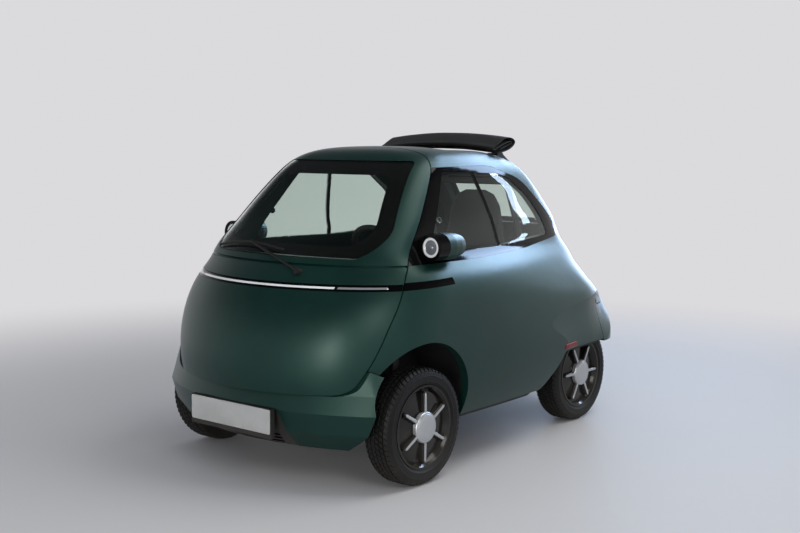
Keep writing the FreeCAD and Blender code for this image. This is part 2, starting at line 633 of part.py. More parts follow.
# Wheels: tyre, dark rim and bright cap with six spokes, facing outwards. Half width, radius.
TYRE = (
    (-54, 178), (-57, 192), (-72, 220), (-66, 255), (-50, 266),
    (50, 266), (66, 255), (72, 220), (57, 192), (54, 178),
)
RIM = (
    (-66, 190), (-60, 190), (-58, 177.7), (58, 177.7), (60, 190), (66, 190), (66, 180), (56, 170),
    (42, 160), (54, 62), (54, 0), (44, 0), (44, 58), (32, 152), (24, 168), (-66, 168),
)
CAP_R = 71
SPOKE_END_R = 150
SPOKE_W = 11


def turned(profile):
    loop = [V(x, 0, r) for x, r in profile]
    return Part.makeSolid(Part.Face(Part.makePolygon(loop + loop[:1])).revolve(V(0, 0, 0), V(1, 0, 0), 360))


tyre = turned(TYRE)
rim = turned(RIM)
cap = [turned(((54 + SEAT, 0), (54 + SEAT, CAP_R), (74, CAP_R), (82, CAP_R - 8), (85, CAP_R - 24), (86, 0)))]
for k in range(6):
    spoke = Part.makeBox(9, SPOKE_W, SPOKE_END_R - 66, V(0, -SPOKE_W / 2, 0))
    spoke = spoke.fuse(Part.makeCylinder(SPOKE_W / 2, 9, V(0, 0, SPOKE_END_R - 66), V(1, 0, 0)))
    spoke.rotate(V(0, 0, 0), V(0, 1, 0), -7)
    spoke.translate(V(54.8, 0, 66))
    spoke.rotate(V(0, 0, 0), V(1, 0, 0), 60 * k)
    cap.append(spoke)
cap = fused(cap)
CORNERS = (
    ("front_left", FRONT_TRACK_X, 0), ("front_right", -FRONT_TRACK_X, 0),
    ("rear_left", REAR_TRACK_X, REAR_Y), ("rear_right", -REAR_TRACK_X, REAR_Y),
)
for corner, x, y in CORNERS:
    for kind, shape in (("tyre", tyre), ("rim", rim), ("hub_cap", cap)):
        placed = shape.copy()
        if x < 0:
            placed.rotate(V(0, 0, 0), V(0, 0, 1), 180)
        placed.translate(V(x, behind(y), TYRE_R))
        save(kind + "_" + corner, placed)
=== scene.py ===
import math

import bmesh
import bpy
from mathutils import Matrix, Vector, noise
from mathutils.bvhtree import BVHTree


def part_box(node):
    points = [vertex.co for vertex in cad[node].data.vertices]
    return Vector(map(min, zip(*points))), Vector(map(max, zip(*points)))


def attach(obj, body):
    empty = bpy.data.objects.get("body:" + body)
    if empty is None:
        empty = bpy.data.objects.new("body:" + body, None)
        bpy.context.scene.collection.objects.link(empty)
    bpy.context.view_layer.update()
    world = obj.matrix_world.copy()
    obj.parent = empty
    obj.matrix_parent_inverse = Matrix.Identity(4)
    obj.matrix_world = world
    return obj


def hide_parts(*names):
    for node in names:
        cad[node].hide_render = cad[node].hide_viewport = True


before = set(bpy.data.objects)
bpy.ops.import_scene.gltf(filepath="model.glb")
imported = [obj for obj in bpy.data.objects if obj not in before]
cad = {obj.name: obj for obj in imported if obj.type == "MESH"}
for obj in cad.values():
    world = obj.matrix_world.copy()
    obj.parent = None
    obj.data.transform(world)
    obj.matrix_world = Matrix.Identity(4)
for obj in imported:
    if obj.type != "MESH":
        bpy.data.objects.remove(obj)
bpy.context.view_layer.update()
scene = bpy.context.scene
print("stage: frame loaded")


def srgb(red, green, blue):  # a colour as a paint chart gives it, 0 to 255
    def linear(value):
        value /= 255
        return value / 12.92 if value <= 0.04045 else ((value + 0.055) / 1.055) ** 2.4
    return (linear(red), linear(green), linear(blue), 1)


# Shader groups: each puts out masks and values that several finishes share.
def startGroup(name, inputs, outputs):
    group = bpy.data.node_groups.new(name, "ShaderNodeTree")
    for label, value in inputs:
        socket = group.interface.new_socket(name=label, in_out="INPUT", socket_type="NodeSocketFloat")
        socket.default_value = value
    for label in outputs:
        group.interface.new_socket(name=label, in_out="OUTPUT", socket_type="NodeSocketFloat")
    return group, group.nodes.new("NodeGroupInput"), group.nodes.new("NodeGroupOutput")


def addNode(tree, kind, links=None, **values):
    node = tree.nodes.new("ShaderNode" + kind)
    for key, value in values.items():
        setattr(node, key, value)
    for socket, source in (links or {}).items():
        if isinstance(source, (int, float, tuple)):
            node.inputs[socket].default_value = source
        else:
            tree.links.new(source, node.inputs[socket])
    return node


def makeFineGrain():  # moulded grain, paint peel or cast skin, by its scale
    group, given, result = startGroup("fineGrain", [("Scale", 400), ("Detail", 2)], ["Height", "Tone"])
    place = addNode(group, "TexCoord")
    fine = addNode(group, "TexNoise", {"Vector": place.outputs["Object"], "Scale": given.outputs["Scale"],
                                       "Detail": given.outputs["Detail"]})
    wide = addNode(group, "TexNoise", {"Vector": place.outputs["Object"], "Scale": 3.5, "Detail": 3.0})
    group.links.new(fine.outputs["Fac"], result.inputs["Height"])
    group.links.new(wide.outputs["Fac"], result.inputs["Tone"])
    return group


def makeRoadDust():  # thin dirt that gathers towards the floor
    group, given, result = startGroup("roadDust", [("Top", 0.6), ("Bottom", 0.15)], ["Mask"])
    place = addNode(group, "TexCoord")
    apart = addNode(group, "SeparateXYZ", {"Vector": place.outputs["Object"]})
    fade = addNode(group, "MapRange", {"Value": apart.outputs["Z"], "From Min": given.outputs["Top"],
                                       "From Max": given.outputs["Bottom"]})
    patch = addNode(group, "TexNoise", {"Vector": place.outputs["Object"], "Scale": 9.0, "Detail": 5.0})
    mixed = addNode(group, "Math", {0: fade.outputs["Result"], 1: patch.outputs["Fac"]}, operation="MULTIPLY")
    group.links.new(mixed.outputs[0], result.inputs["Mask"])
    return group


def makeWeave():  # crossing threads on cloth of any slope
    group, given, result = startGroup("clothWeave", [("Threads", 900)], ["Height", "Shade"])
    place = addNode(group, "TexCoord")
    apart = addNode(group, "SeparateXYZ", {"Vector": place.outputs["Object"]})
    down = addNode(group, "Math", {0: apart.outputs["Y"], 1: apart.outputs["Z"]}, operation="ADD")
    waves = []
    for source in (apart.outputs["X"], down.outputs[0]):
        turned = addNode(group, "Math", {0: source, 1: given.outputs["Threads"]}, operation="MULTIPLY")
        waves.append(addNode(group, "Math", {0: turned.outputs[0]}, operation="SINE"))
    cross = addNode(group, "Math", {0: waves[0].outputs[0], 1: waves[1].outputs[0]}, operation="MULTIPLY")
    level = addNode(group, "MapRange", {"Value": cross.outputs[0], "From Min": -1.0, "From Max": 1.0})
    soft = addNode(group, "TexNoise", {"Vector": place.outputs["Object"], "Scale": 14.0, "Detail": 4.0})
    group.links.new(level.outputs["Result"], result.inputs["Height"])
    group.links.new(soft.outputs["Fac"], result.inputs["Shade"])
    return group


def makeWidthBand():  # 1 between two distances from the car's middle
    group, given, result = startGroup("widthBand", [("From", 0.4), ("To", 0.5)], ["Mask"])
    place = addNode(group, "TexCoord")
    apart = addNode(group, "SeparateXYZ", {"Vector": place.outputs["Object"]})
    across = addNode(group, "Math", {0: apart.outputs["X"]}, operation="ABSOLUTE")
    past = addNode(group, "Math", {0: across.outputs[0], 1: given.outputs["From"]}, operation="GREATER_THAN")
    short = addNode(group, "Math", {0: across.outputs[0], 1: given.outputs["To"]}, operation="LESS_THAN")
    both = addNode(group, "Math", {0: past.outputs[0], 1: short.outputs[0]}, operation="MULTIPLY")
    group.links.new(both.outputs[0], result.inputs["Mask"])
    return group


def makeFarFade():  # rises from 0 near the car to 1 at the far floor
    group, given, result = startGroup("farFade", [("Near", 4), ("Far", 12)], ["Mask"])
    place = addNode(group, "TexCoord")
    away = addNode(group, "VectorMath", {0: place.outputs["Object"]}, operation="LENGTH")
    fade = addNode(group, "MapRange", {"Value": away.outputs["Value"], "From Min": given.outputs["Near"],
                                       "From Max": given.outputs["Far"]}, interpolation_type="SMOOTHSTEP")
    group.links.new(fade.outputs["Result"], result.inputs["Mask"])
    return group


fineGrain = makeFineGrain()
widthBand = makeWidthBand()
farFade = makeFarFade()
roadDust = makeRoadDust()
clothWeave = makeWeave()

toneSpan = {"From Min": 0.3, "From Max": 0.7}  # where most of a noise's values lie
dustColour = srgb(96, 92, 86)
bumpDepth = 0.0004


def newFinish(name, look):  # colour and roughness follow the grain's tone, dust lies low, bump is its height
    finish = bpy.data.materials.new(name)
    finish.use_nodes = True
    tree = finish.node_tree
    shader = tree.nodes["Principled BSDF"]
    for socket, value in look.get("sockets", {}).items():
        shader.inputs[socket].default_value = value
    weave = look.get("threads")
    source = tree.nodes.new("ShaderNodeGroup")
    source.node_tree = clothWeave if weave else fineGrain
    source.inputs["Threads" if weave else "Scale"].default_value = weave or look["grain"]
    tone = source.outputs["Shade" if weave else "Tone"]
    spread = addNode(tree, "MapRange", {"Value": tone, **toneSpan})
    colour = addNode(tree, "Mix", {"Factor": spread.outputs["Result"], "A": look["dark"], "B": look["light"]},
                     data_type="RGBA")
    out = colour.outputs["Result"]
    if look.get("dust"):
        dust = tree.nodes.new("ShaderNodeGroup")
        dust.node_tree = roadDust
        dust.inputs["Top"].default_value, dust.inputs["Bottom"].default_value = look["dust"]
        film = addNode(tree, "Mix", {"Factor": dust.outputs["Mask"], "A": out, "B": dustColour}, data_type="RGBA")
        out = film.outputs["Result"]
    for inner, outer, shade in look.get("bands", ()):
        band = tree.nodes.new("ShaderNodeGroup")
        band.node_tree = widthBand
        band.inputs["From"].default_value, band.inputs["To"].default_value = inner, outer
        painted = addNode(tree, "Mix", {"Factor": band.outputs["Mask"], "A": out, "B": shade}, data_type="RGBA")
        out = painted.outputs["Result"]
    tree.links.new(out, shader.inputs["Base Color"])
    low, high = look["rough"]
    rough = addNode(tree, "MapRange", {"Value": tone, **toneSpan, "To Min": low, "To Max": high})
    tree.links.new(rough.outputs["Result"], shader.inputs["Roughness"])
    bump = addNode(tree, "Bump", {"Height": source.outputs["Height"], "Strength": look["bump"],
                                  "Distance": bumpDepth})
    tree.links.new(bump.outputs["Normal"], shader.inputs["Normal"])
    return finish


finishLooks = {
    "satinPaint": {"grain": 2600.0, "dark": srgb(15, 47, 42), "light": srgb(18, 54, 48), "rough": (0.4, 0.46),
                   "bump": 0.04,
                   "sockets": {"Metallic": 0.5, "IOR": 1.2, "Coat Weight": 0.6, "Coat Roughness": 0.36,
                               "Coat IOR": 1.35}},
    "glossBlack": {"grain": 60.0, "dark": srgb(5, 5, 6), "light": srgb(9, 9, 10), "rough": (0.05, 0.09),
                   "bump": 0.02, "sockets": {"IOR": 1.2}},
    "printBlack": {"grain": 60.0, "dark": srgb(5, 5, 6), "light": srgb(8, 8, 9), "rough": (0.5, 0.6),
                   "bump": 0.02, "sockets": {"IOR": 1.2}},
    "rimBlack": {"grain": 90.0, "dark": srgb(5, 5, 6), "light": srgb(9, 9, 10), "rough": (0.1, 0.18),
                 "bump": 0.03, "dust": (0.5, -0.5), "sockets": {"IOR": 1.38}},
    "mouldedBlack": {"grain": 900.0, "dark": srgb(11, 11, 12), "light": srgb(19, 19, 20), "rough": (0.5, 0.65),
                     "bump": 0.25, "dust": (0.45, -0.2), "sockets": {"IOR": 1.4}},
    "cabinPlastic": {"grain": 1100.0, "dark": srgb(20, 22, 23), "light": srgb(29, 31, 32), "rough": (0.5, 0.62),
                     "bump": 0.3, "sockets": {}},
    "tyreRubber": {"grain": 700.0, "dark": srgb(4, 4, 4), "light": srgb(8, 8, 8), "rough": (0.5, 0.66),
                   "bump": 0.22, "dust": (0.3, -0.7), "sockets": {"IOR": 1.35}},
    "satinSilver": {"grain": 1500.0, "dark": srgb(166, 169, 173), "light": srgb(184, 187, 191),
                    "rough": (0.26, 0.36), "bump": 0.03, "sockets": {"Metallic": 0.6}},
    "chrome": {"grain": 30.0, "dark": srgb(200, 202, 206), "light": srgb(216, 218, 221), "rough": (0.08, 0.14),
               "bump": 0.01, "sockets": {"Metallic": 1.0}},
    "forgedSteel": {"grain": 260.0, "dark": srgb(34, 34, 35), "light": srgb(52, 52, 52), "rough": (0.42, 0.6),
                    "bump": 0.25, "dust": (0.6, -0.1), "sockets": {"Metallic": 0.5}},
    "castAlloy": {"grain": 420.0, "dark": srgb(70, 71, 73), "light": srgb(96, 97, 98), "rough": (0.4, 0.55),
                  "bump": 0.3, "dust": (0.6, -0.2), "sockets": {"Metallic": 0.8}},
    "seatCloth": {"threads": 5200.0, "dark": srgb(14, 16, 18), "light": srgb(17, 19, 21), "rough": (0.84, 0.9),
                  "bump": 0.12, "sockets": {"Sheen Weight": 0.1}},
    "roofCanvas": {"threads": 7000.0, "dark": srgb(8, 8, 8), "light": srgb(15, 15, 15), "rough": (0.7, 0.85),
                   "bump": 0.3, "sockets": {"Sheen Weight": 0.04, "IOR": 1.3}},
    "lampWhite": {"grain": 200.0, "dark": srgb(206, 210, 214), "light": srgb(226, 229, 232), "rough": (0.12, 0.2),
                  "bump": 0.02, "sockets": {"Coat Weight": 1.0}},
    "lampGrey": {"grain": 200.0, "dark": srgb(112, 116, 124), "light": srgb(140, 144, 152), "rough": (0.1, 0.18),
                 "bump": 0.02, "sockets": {"Coat Weight": 1.0, "Metallic": 0.5}},
    # white lens, a dark gap, then the clear turn lamp at each end
    "stripLens": {"grain": 200.0, "dark": srgb(206, 210, 214), "light": srgb(224, 227, 230), "rough": (0.1, 0.18),
                  "bump": 0.02, "bands": ((0.427, 0.440, srgb(8, 8, 9)), (0.440, 0.609, srgb(120, 122, 126)),
                                          (0.609, 0.624, srgb(236, 238, 240)), (0.624, 0.9, srgb(8, 8, 9))),
                  "sockets": {"Coat Weight": 1.0}},
    "lampRed": {"grain": 300.0, "dark": srgb(96, 4, 6), "light": srgb(134, 7, 9), "rough": (0.2, 0.3),
                "bump": 0.03, "sockets": {"IOR": 1.3}},
    "smokedRed": {"grain": 300.0, "dark": srgb(34, 8, 10), "light": srgb(52, 12, 14), "rough": (0.08, 0.14),
                  "bump": 0.02, "sockets": {"Coat Weight": 1.0}},
    "plateFace": {"grain": 500.0, "dark": srgb(176, 178, 180), "light": srgb(188, 190, 192), "rough": (0.3, 0.42),
                  "bump": 0.03, "dust": (0.7, 0.0), "sockets": {}},
    "cabinLining": {"threads": 3600.0, "dark": srgb(40, 42, 44), "light": srgb(54, 56, 58), "rough": (0.85, 0.95),
                    "bump": 0.3, "sockets": {}},
}
finishes = {name: newFinish(name, look) for name, look in finishLooks.items()}


def makeGlass(name, dark, light, shadow):  # clear panes let light into the cabin, so they cast a thin shadow
    glass = bpy.data.materials.new(name)
    glass.use_nodes = True
    tree = glass.node_tree
    shader = tree.nodes["Principled BSDF"]
    shader.inputs["Transmission Weight"].default_value = 1
    shader.inputs["IOR"].default_value = 1.3
    grain = tree.nodes.new("ShaderNodeGroup")
    grain.node_tree = fineGrain
    grain.inputs["Scale"].default_value = 5
    smear = addNode(tree, "MapRange", {"Value": grain.outputs["Tone"], "To Min": 0.0, "To Max": 0.03})
    tree.links.new(smear.outputs["Result"], shader.inputs["Roughness"])
    shade = addNode(tree, "Mix", {"Factor": grain.outputs["Height"], "A": dark, "B": light}, data_type="RGBA")
    tree.links.new(shade.outputs["Result"], shader.inputs["Base Color"])
    clear = addNode(tree, "BsdfTransparent", {"Color": shadow})
    rays = addNode(tree, "LightPath")
    mixed = addNode(tree, "MixShader", {0: rays.outputs["Is Shadow Ray"], 1: shader.outputs[0], 2: clear.outputs[0]})
    tree.links.new(mixed.outputs[0], tree.nodes["Material Output"].inputs["Surface"])
    return glass


finishes["paneGlass"] = makeGlass("paneGlass", srgb(227, 237, 231), srgb(229, 239, 233), (0.7, 0.74, 0.72, 1))
print("stage: finishes made")

nodeFinish = {
    "satinPaint": ["front_door", "body_left", "body_right", "roof", "tailgate", "tail_panel", "front_bumper",
                   "pod_shells", "gate_leaves"],
    "glossBlack": ["light_bar", "side_strips", "window_frame_left", "window_frame_right", "pod_drums"],
    "rimBlack": ["rim_front_left", "rim_front_right", "rim_rear_left", "rim_rear_right"],
    "satinSilver": ["hub_cap_front_left", "hub_cap_front_right", "hub_cap_rear_left", "hub_cap_rear_right"],
    "stripLens": ["light_strip"],
    "chrome": ["pod_mirrors"],
    "lampGrey": ["pod_lamps"],
    "smokedRed": ["tail_lamp"],
    "paneGlass": ["windscreen", "rear_glass", "side_glass_left", "side_glass_right"],
    "mouldedBlack": ["bumper_insert", "arch_liners", "wiper", "gate_pins", "door_latch"],
    "cabinPlastic": ["dash_bar", "seat_base", "steering_column", "steering_wheel"],
    "cabinLining": ["floor_pan"],
    "forgedSteel": ["front_axle", "rear_axle", "knuckle_left", "knuckle_right", "roll_bar"],
    "castAlloy": ["motor", "battery"],
    "tyreRubber": ["tyre_front_left", "tyre_front_right", "tyre_rear_left", "tyre_rear_right"],
    "seatCloth": ["seat_cushion", "seat_back"],
    "roofCanvas": ["soft_top"],
}
for finish, names in nodeFinish.items():
    for name in names:
        mesh = cad[name].data
        mesh.materials.clear()
        mesh.materials.append(finishes[finish])
print("stage: frame dressed")


bothSides = ((1, "left"), (-1, "right"))
wheelCorners = ("front_left", "front_right", "rear_left", "rear_right")


def newObject(name, verts, faces, finish, body, smooth=True):
    mesh = bpy.data.meshes.new(name)
    mesh.from_pydata([tuple(v) for v in verts], [], faces)
    piece = bpy.data.objects.new(name, mesh)
    scene.collection.objects.link(piece)
    mesh.materials.append(finishes[finish])
    cleaner = bmesh.new()
    cleaner.from_mesh(mesh)
    bmesh.ops.recalc_face_normals(cleaner, faces=cleaner.faces)
    cleaner.to_mesh(mesh)
    cleaner.free()
    for polygon in mesh.polygons:
        polygon.use_smooth = smooth
    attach(piece, body)
    return piece


def gridFaces(rows, columns, closeRows=False, closeColumns=False, first=0):
    faces = []
    for i in range(rows if closeRows else rows - 1):
        for j in range(columns if closeColumns else columns - 1):
            below, beside = (i + 1) % rows, (j + 1) % columns
            faces.append(tuple(first + k for k in (i * columns + j, i * columns + beside,
                                                   below * columns + beside, below * columns + j)))
    return faces


def endFaces(rows, columns, first=0):  # closes both ends of a stack of rings
    last = first + (rows - 1) * columns
    return [tuple(first + k for k in range(columns))[::-1], tuple(last + k for k in range(columns))]


def addPart(verts, faces, part):  # joins one more part's points and faces to a mesh in the making
    first = len(verts)
    verts += part[0]
    faces += [tuple(first + n for n in face) for face in part[1]]


def boxMiddle(node):
    low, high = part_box(node)
    return (Vector(low) + Vector(high)) / 2


def lathe(profile, around, centre, axis):  # the profile holds a distance along the axis and a radius
    axis = Vector(axis).normalized()
    across = axis.orthogonal().normalized()
    up = axis.cross(across)
    verts = []
    for along, radius in profile:
        for k in range(around):
            turn = 2 * math.pi * k / around
            verts.append(Vector(centre) + axis * along
                         + max(radius, 1e-5) * (math.cos(turn) * across + math.sin(turn) * up))
    return verts, gridFaces(len(profile), around, closeColumns=True)


def tubeAlong(points, radius, around=12):
    lean = Vector((0.13, 0.27, 0.95))  # no tube here runs this way
    verts = []
    for i, point in enumerate(points):
        ahead = points[min(i + 1, len(points) - 1)] - points[max(i - 1, 0)]
        across = ahead.cross(lean).normalized()
        up = ahead.cross(across).normalized()
        for k in range(around):
            turn = 2 * math.pi * k / around
            verts.append(point + radius * (math.cos(turn) * across + math.sin(turn) * up))
    return verts, gridFaces(len(points), around, closeColumns=True) + endFaces(len(points), around)


def roundedLoop(corners, steps=6):  # corners hold two coordinates and a radius
    loop = []
    for i, (x, y, radius) in enumerate(corners):
        corner = Vector((x, y))
        before = (Vector(corners[i - 1][:2]) - corner).normalized()
        after = (Vector(corners[(i + 1) % len(corners)][:2]) - corner).normalized()
        half = before.angle(after) / 2
        back = radius / math.tan(half)
        centre = corner + (before + after).normalized() * (radius / math.sin(half))
        start, end = corner + before * back - centre, corner + after * back - centre
        turn = math.pi - 2 * half
        side = 1 if start.x * end.y - start.y * end.x > 0 else -1
        for k in range(steps + 1):
            angle = side * turn * k / steps
            loop.append(centre + Vector((start.x * math.cos(angle) - start.y * math.sin(angle),
                                         start.x * math.sin(angle) + start.y * math.cos(angle))))
    return loop


def spreadLoop(loop, dense):
    return [a.lerp(b, k / dense) for a, b in zip(loop, loop[1:] + loop[:1]) for k in range(dense)]


def softPower(value, power):  # a power that keeps the sign: below 1 it squares off a round form
    return math.copysign(abs(value) ** power, value)


def treeOf(node):
    mesh = cad[node].data
    return BVHTree.FromPolygons([v.co for v in mesh.vertices], [tuple(p.vertices) for p in mesh.polygons])


def surfaceAt(tree, side, y, z):  # point and outward normal where a level ray from one side meets the skin
    hit = tree.ray_cast(Vector((side * 2.0, y, z)), Vector((-side, 0, 0)))
    normal = hit[1] if hit[1].x * side > 0 else -hit[1]
    return hit[0], normal


# Tyres: a carcass with plain walls and six rows of tread blocks, drawn once and set at each wheel.
tyreForm = {
    # half of the section, from the inner wall to the crown: distance along the axle and radius
    "profile": ((-0.054, 0.178), (-0.058, 0.189), (-0.0625, 0.1905), (-0.0632, 0.1925), (-0.0660, 0.196),
                (-0.0690, 0.2030), (-0.0712, 0.2052), (-0.0706, 0.2068), (-0.0715, 0.214), (-0.0720, 0.222),
                (-0.0712, 0.2300), (-0.0719, 0.2318), (-0.0706, 0.2336), (-0.0695, 0.238), (-0.067, 0.247),
                (-0.062, 0.253), (-0.050, 0.2585), (-0.025, 0.260), (0, 0.2605)),
    # rows of blocks: middle and width along the axle, foot and top radius
    "rows": ((-0.058, 0.017, 0.2530, 0.2640), (-0.0345, 0.017, 0.2585, 0.2655), (-0.0115, 0.017, 0.2595, 0.266),
             (0.0115, 0.017, 0.2595, 0.266), (0.0345, 0.017, 0.2585, 0.2655), (0.058, 0.017, 0.2530, 0.2640)),
    "blocks": 62, "gap": 0.26, "around": 124, "skew": 0.35,
    "sunk": 0.004, "edgeDrop": 0.001, "edgeInset": 0.0011,  # a block's foot in the carcass, and its worn edge
    "shoulderFrom": 0.05, "shoulderFall": 0.62,  # outer blocks fall away past this distance from the middle
    "sharp": 35,
}


def makeTyreMesh():
    form = tyreForm
    half = list(form["profile"])
    profile = half + [(-x, r) for x, r in half[-2::-1]]
    verts = []
    for i in range(form["around"]):
        turn = 2 * math.pi * i / form["around"]
        verts += [(x, r * math.cos(turn), r * math.sin(turn)) for x, r in profile]
    faces = gridFaces(form["around"], len(profile), closeRows=True)
    step = 2 * math.pi / form["blocks"]
    for row, (middle, width, foot, top) in enumerate(form["rows"]):
        side = -1 if middle < 0 else 1
        levels = ((foot - form["sunk"], 0), (top - form["edgeDrop"], 0), (top, form["edgeInset"]))
        for i in range(form["blocks"]):
            start = step * (i + 0.5 * (row % 2))
            first = len(verts)
            for radius, inset in levels:
                for edge, when in ((-1, 0), (1, 0), (1, 1), (-1, 1)):
                    x = middle + edge * (width / 2 - inset)
                    along = step * (1 - form["gap"]) * when + (inset / top) * (1 - 2 * when)
                    lean = form["skew"] * step * (x - middle) / width * side
                    fall = max(abs(x) - form["shoulderFrom"], 0) * form["shoulderFall"]
                    low = radius - (fall if abs(middle) > form["shoulderFrom"] else 0)
                    angle = start + along + lean
                    verts.append((x, low * math.cos(angle), low * math.sin(angle)))
            faces += gridFaces(len(levels), 4, closeColumns=True, first=first)
            faces.append(tuple(first + 8 + k for k in range(4)))
    return verts, faces


tyreVerts, tyreFaces = makeTyreMesh()
for corner in wheelCorners:
    middle = boxMiddle("tyre_" + corner)
    flip = -1 if middle.x < 0 else 1
    placed = [(middle.x + flip * x, middle.y + y, middle.z + z) for x, y, z in tyreVerts]
    tyre = newObject("treadTyre_" + corner, placed, tyreFaces, "tyreRubber", "wheel_" + corner)
    tyre.data.set_sharp_from_angle(angle=math.radians(tyreForm["sharp"]))
    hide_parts("tyre_" + corner)
print("stage: tyres")


# Wheel faces: a domed silver cap with six free strips, each on a dark arm that rises from the dish.
capForm = {
    # from the tyre's middle outwards along the axle, and radius
    "cap": ((0.0546, 0.0), (0.0546, 0.068), (0.0560, 0.0705), (0.0700, 0.0710), (0.0740, 0.0700), (0.0775, 0.0665),
            (0.0790, 0.0640), (0.0785, 0.0610), (0.0800, 0.0595), (0.0815, 0.0560), (0.0835, 0.0420), (0.0845, 0.0)),
    "around": 72, "strips": 6, "turn": {"front": 0, "rear": 30}, "sharp": 40,
    # from and to a radius; half width, outer and inner height at each end
    "strip": {"from": 0.060, "to": 0.157, "wide": (0.0072, 0.0062), "top": (0.0735, 0.0725), "foot": (0.069, 0.068)},
    "arm": {"from": 0.050, "to": 0.163, "wide": (0.014, 0.010), "top": (0.0685, 0.0675), "foot": (0.043, 0.030)},
    "stations": 14, "ring": 18, "power": 0.55, "tip": 0.02,
}


def sweptBar(form, angle):
    verts, stations, ring, power = [], capForm["stations"], capForm["ring"], capForm["power"]
    for i in range(stations):
        u = i / (stations - 1)
        r = form["from"] + (form["to"] - form["from"]) * u
        half, high, low = (form[key][0] + (form[key][1] - form[key][0]) * u for key in ("wide", "top", "foot"))
        tip = math.sqrt(max(capForm["tip"], 1 - max(0, (r - (form["to"] - half)) / half) ** 2))
        for k in range(ring):
            turn = 2 * math.pi * k / ring
            across = half * tip * softPower(math.cos(turn), power)
            rise = (high + low) / 2 + (high - low) / 2 * softPower(math.sin(turn), power)
            verts.append((rise, r * math.cos(angle) - across * math.sin(angle),
                          r * math.sin(angle) + across * math.cos(angle)))
    return verts, gridFaces(stations, ring, closeColumns=True) + endFaces(stations, ring)


def makeWheelFace(corner):
    form = capForm
    middle = boxMiddle("tyre_" + corner)
    flip = -1 if middle.x < 0 else 1
    cap = lathe(form["cap"], form["around"], (0, 0, 0), (1, 0, 0))
    arms = ([], [])
    for k in range(form["strips"]):
        angle = math.radians(90 + form["turn"][corner.split("_")[0]] + 360 * k / form["strips"])
        addPart(*cap, sweptBar(form["strip"], angle))
        addPart(*arms, sweptBar(form["arm"], angle))
    for name, (verts, faces), finish, slot in (("starCap_", cap, "satinSilver", "silver"),
                                               ("spokeArms_", arms, "rimBlack", "gloss_black")):
        placed = [(middle.x + flip * x, middle.y + y, middle.z + z) for x, y, z in verts]
        piece = newObject(name + corner, placed, faces, finish, "wheel_" + corner)
        piece.data.set_sharp_from_angle(angle=math.radians(form["sharp"]))
        if slot == "silver":
            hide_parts("hub_cap_" + corner)


for corner in wheelCorners:
    makeWheelFace(corner)
print("stage: wheel faces")


# Seat: a bench cushion and two backs with head rests.
seatForm = {
    "cushion": {"halfWidth": 0.572, "front": -0.316, "back": 0.160, "low": 0.452, "high": 0.562, "crown": 0.012,
                "waist": 0.035, "powers": (9, 6, 3.5), "round": 6, "cuts": 22, "topFrom": 0.3,
                # seams that run front to back at these x, and across at these y: depth, half width
                "lengthways": ((-0.29, 0.0, 0.29), 0.006, 0.006), "crossways": ((-0.10, 0.02, 0.14), 0.0042, 0.005)},
    "backs": {"centre": 0.222, "rows": 34, "around": 48, "setBack": 0.004, "power": 0.62, "blend": 0.4,
              "channel": {"deep": 0.0035, "pitch": 0.022, "low": 0.5, "high": 1.02, "halfWidth": 0.12},
              # height above the floor, half width, then y of the front and of the back
              "sections": ((0.456, 0.205, 0.166, 0.264), (0.60, 0.212, 0.172, 0.282), (0.80, 0.208, 0.197, 0.297),
                           (1.00, 0.190, 0.228, 0.312), (1.10, 0.168, 0.244, 0.318), (1.20, 0.150, 0.252, 0.314),
                           (1.265, 0.110, 0.258, 0.304), (1.282, 0.060, 0.266, 0.294))},
}


def makeCushion():
    form = seatForm["cushion"]
    body = bmesh.new()
    bmesh.ops.create_cube(body, size=2)
    bmesh.ops.subdivide_edges(body, edges=body.edges[:], cuts=form["cuts"], use_grid_fill=True)
    middle, depth = (form["front"] + form["back"]) / 2, (form["back"] - form["front"]) / 2
    level, rise = (form["low"] + form["high"]) / 2, (form["high"] - form["low"]) / 2
    for vert in body.verts:
        u, v, w = vert.co
        pull = 1 - form["waist"] * (1 - w * w)
        corner = sum(abs(part) ** power for part, power in zip((u, v, w), form["powers"])) ** (1 / form["round"])
        shrink = 1 / max(corner, 1)
        x, y, z = u * shrink * form["halfWidth"] * pull, v * shrink * depth, w * shrink * rise
        if w > form["topFrom"]:
            z += form["crown"] * ((1 - u * u) * (1 - v * v) - 1)
            for (seams, deep, wide), place in ((form["lengthways"], x), (form["crossways"], y)):
                z -= sum(deep * math.exp(-((place - seam) / wide) ** 2) for seam in seams)
        vert.co = (x, middle + y, level + z)
    body.verts.index_update()
    verts = [vert.co.copy() for vert in body.verts]
    faces = [tuple(vert.index for vert in face.verts) for face in body.faces]
    body.free()
    piece = newObject("benchCushion", verts, faces, "seatCloth", "body")
    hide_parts("seat_cushion")


def blendRows(table, at, share):  # between two rows, part straight and part eased
    for low, high in zip(table, table[1:]):
        if low[0] <= at <= high[0]:
            part = (at - low[0]) / (high[0] - low[0])
            part = part * part * (3 - 2 * part) * share + part * (1 - share)
            return [a + (b - a) * part for a, b in zip(low, high)]
    return list(table[-1])


